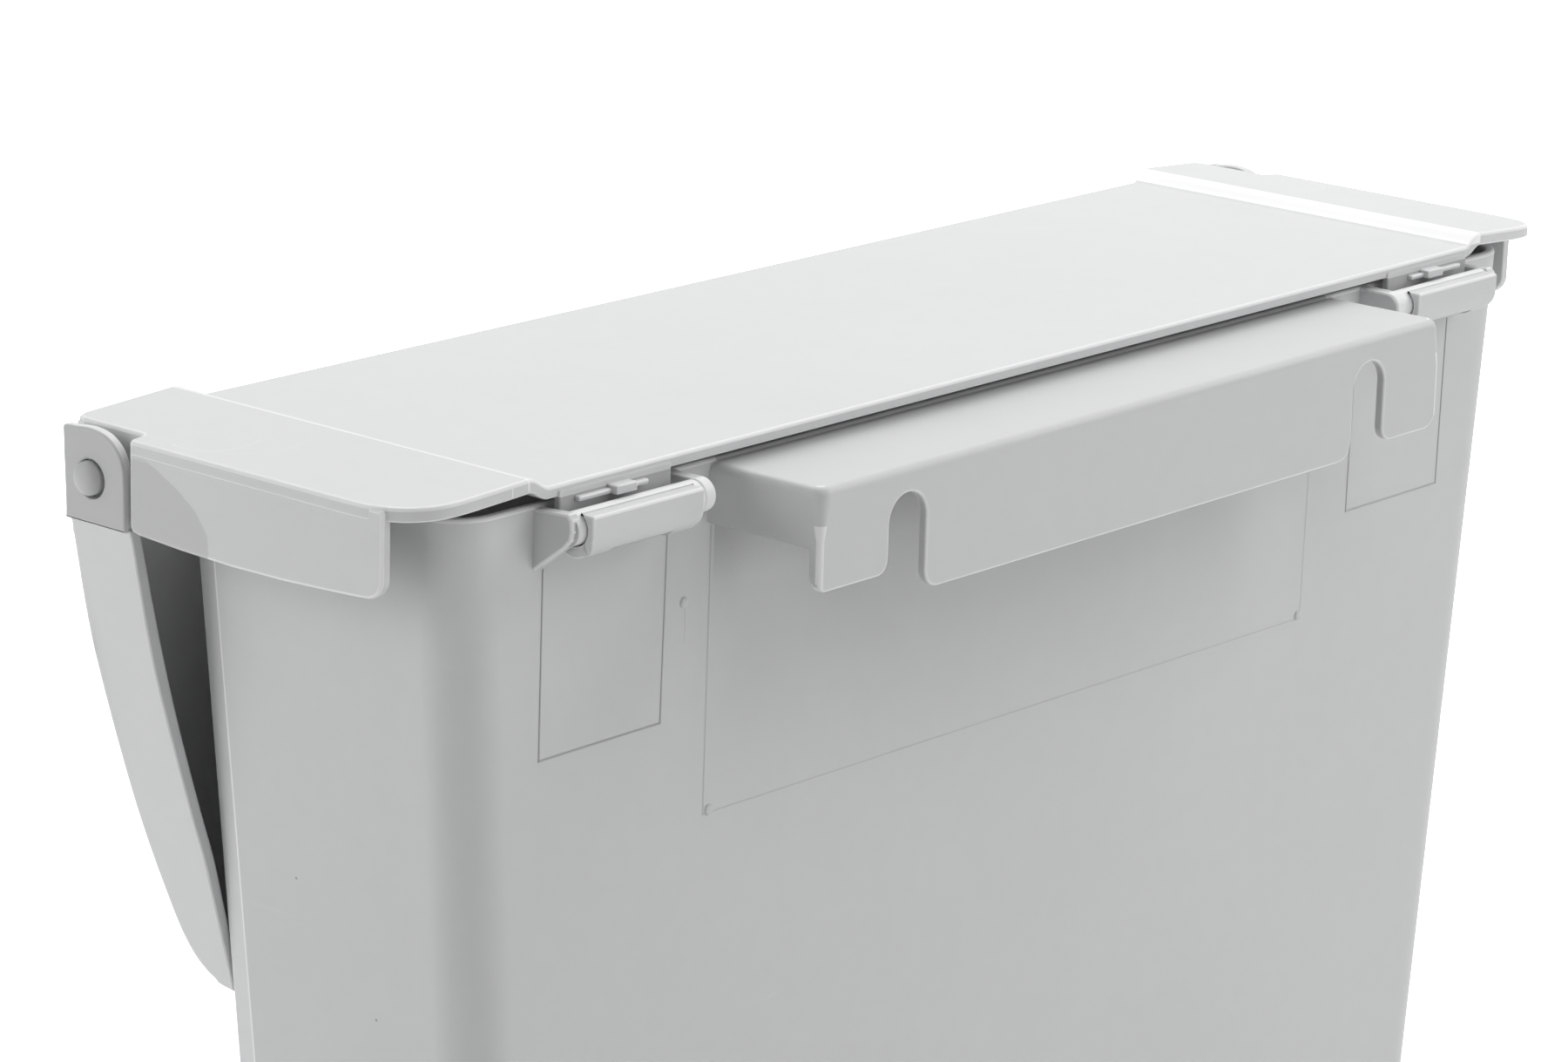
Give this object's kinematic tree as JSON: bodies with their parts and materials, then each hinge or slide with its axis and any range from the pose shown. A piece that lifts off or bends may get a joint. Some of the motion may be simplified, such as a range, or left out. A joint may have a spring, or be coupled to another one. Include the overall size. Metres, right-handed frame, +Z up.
{
  "type": "wall-hung waste bin",
  "caption": "Flat tapered hanging waste bin: body with slotted rear hanging bracket, snap-hinged lid and a bowed full-width front flap.",
  "frame": {"origin": "centre of the overall footprint, on the plane of the bin's flat underside", "axes": "+X along the bin's width, towards the left end as seen from behind; +Y out of the rear wall, towards the wall the bin hangs on; +Z up. The flap faces -Y"},
  "size_m": [0.3732, 0.1234, 0.3074],
  "materials": {
    "body_plastic": "satin light grey polypropylene",
    "lid_plastic": "smooth satin light grey polypropylene",
    "flap_plastic": "satin light grey polypropylene"
  },
  "bodies": {
    "body": {"bin_body": "body_plastic"},
    "lid": {"lid": "lid_plastic"},
    "flap": {"front_flap": "flap_plastic"}
  },
  "joints": [
    {"name": "lid_hinge", "type": "hinge", "parent": "body", "child": "lid", "pos_m": [0, 0.0404, 0.2974], "axis": [-1, 0, 0], "range_deg": [0, 95]},
    {"name": "flap_hinge", "type": "hinge", "parent": "lid", "child": "flap", "pos_m": [0, -0.0522, 0.2953], "axis": [-1, 0, 0], "range_deg": [0, 65]}
  ]
}
